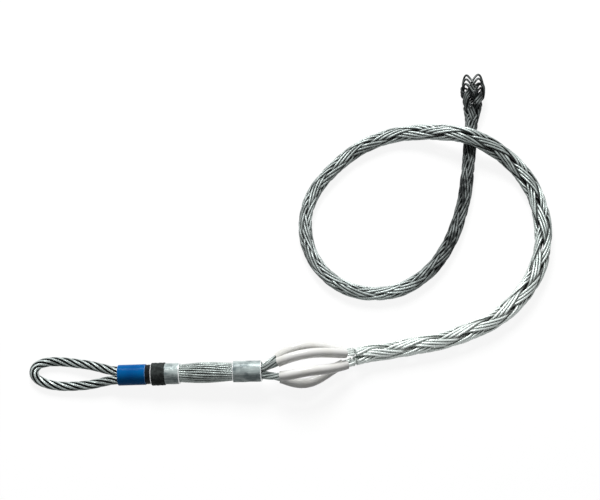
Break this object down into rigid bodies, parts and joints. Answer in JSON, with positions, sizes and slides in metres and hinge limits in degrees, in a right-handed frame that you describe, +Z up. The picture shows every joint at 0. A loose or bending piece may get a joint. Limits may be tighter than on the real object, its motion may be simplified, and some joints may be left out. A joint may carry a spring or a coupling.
{
  "type": "cable pulling grip",
  "caption": "Woven wire cable pulling grip with a wire rope eye, pressed ferrules, a basket of sleeved legs and an open-ended tubular mesh, laid in a coil.",
  "frame": {"origin": "middle of the overall box, on the floor that the grip lies on", "axes": "+X from the eye along the head towards the basket, +Y across the floor towards the mesh's open tail, +Z up"},
  "size_m": [0.5349, 0.3777, 0.0437],
  "materials": {
    "rope_steel": "bright galvanised wire rope",
    "strand_steel": "bright galvanised strand, darker and dull towards the tail",
    "ferrule_steel": "pressed galvanised steel",
    "blue_plastic": "glossy shrunk sleeve",
    "black_plastic": "black wrap",
    "cloth_tape": "black cloth tape",
    "clear_sleeve": "milky clear soft plastic tube"
  },
  "bodies": {
    "root": {"eye_rope_core": "rope_steel", "eye_strand_1": "rope_steel", "eye_strand_2": "rope_steel", "eye_strand_3": "rope_steel", "eye_strand_4": "rope_steel", "eye_strand_5": "rope_steel", "eye_strand_6": "rope_steel", "colour_sleeve": "blue_plastic", "neck_wrap": "black_plastic", "tape_wrap": "cloth_tape", "front_ferrule": "ferrule_steel", "rear_ferrule": "ferrule_steel", "strand_bundle": "strand_steel", "leg_strands_1": "strand_steel", "leg_strands_2": "strand_steel", "leg_strands_3": "strand_steel", "leg_strands_4": "strand_steel", "leg_sleeve_1": "clear_sleeve", "leg_sleeve_2": "clear_sleeve", "leg_sleeve_3": "clear_sleeve", "leg_sleeve_4": "clear_sleeve", "mesh_front": "strand_steel", "mesh_back": "strand_steel", "mesh_mouth": "strand_steel"}
  },
  "joints": []
}
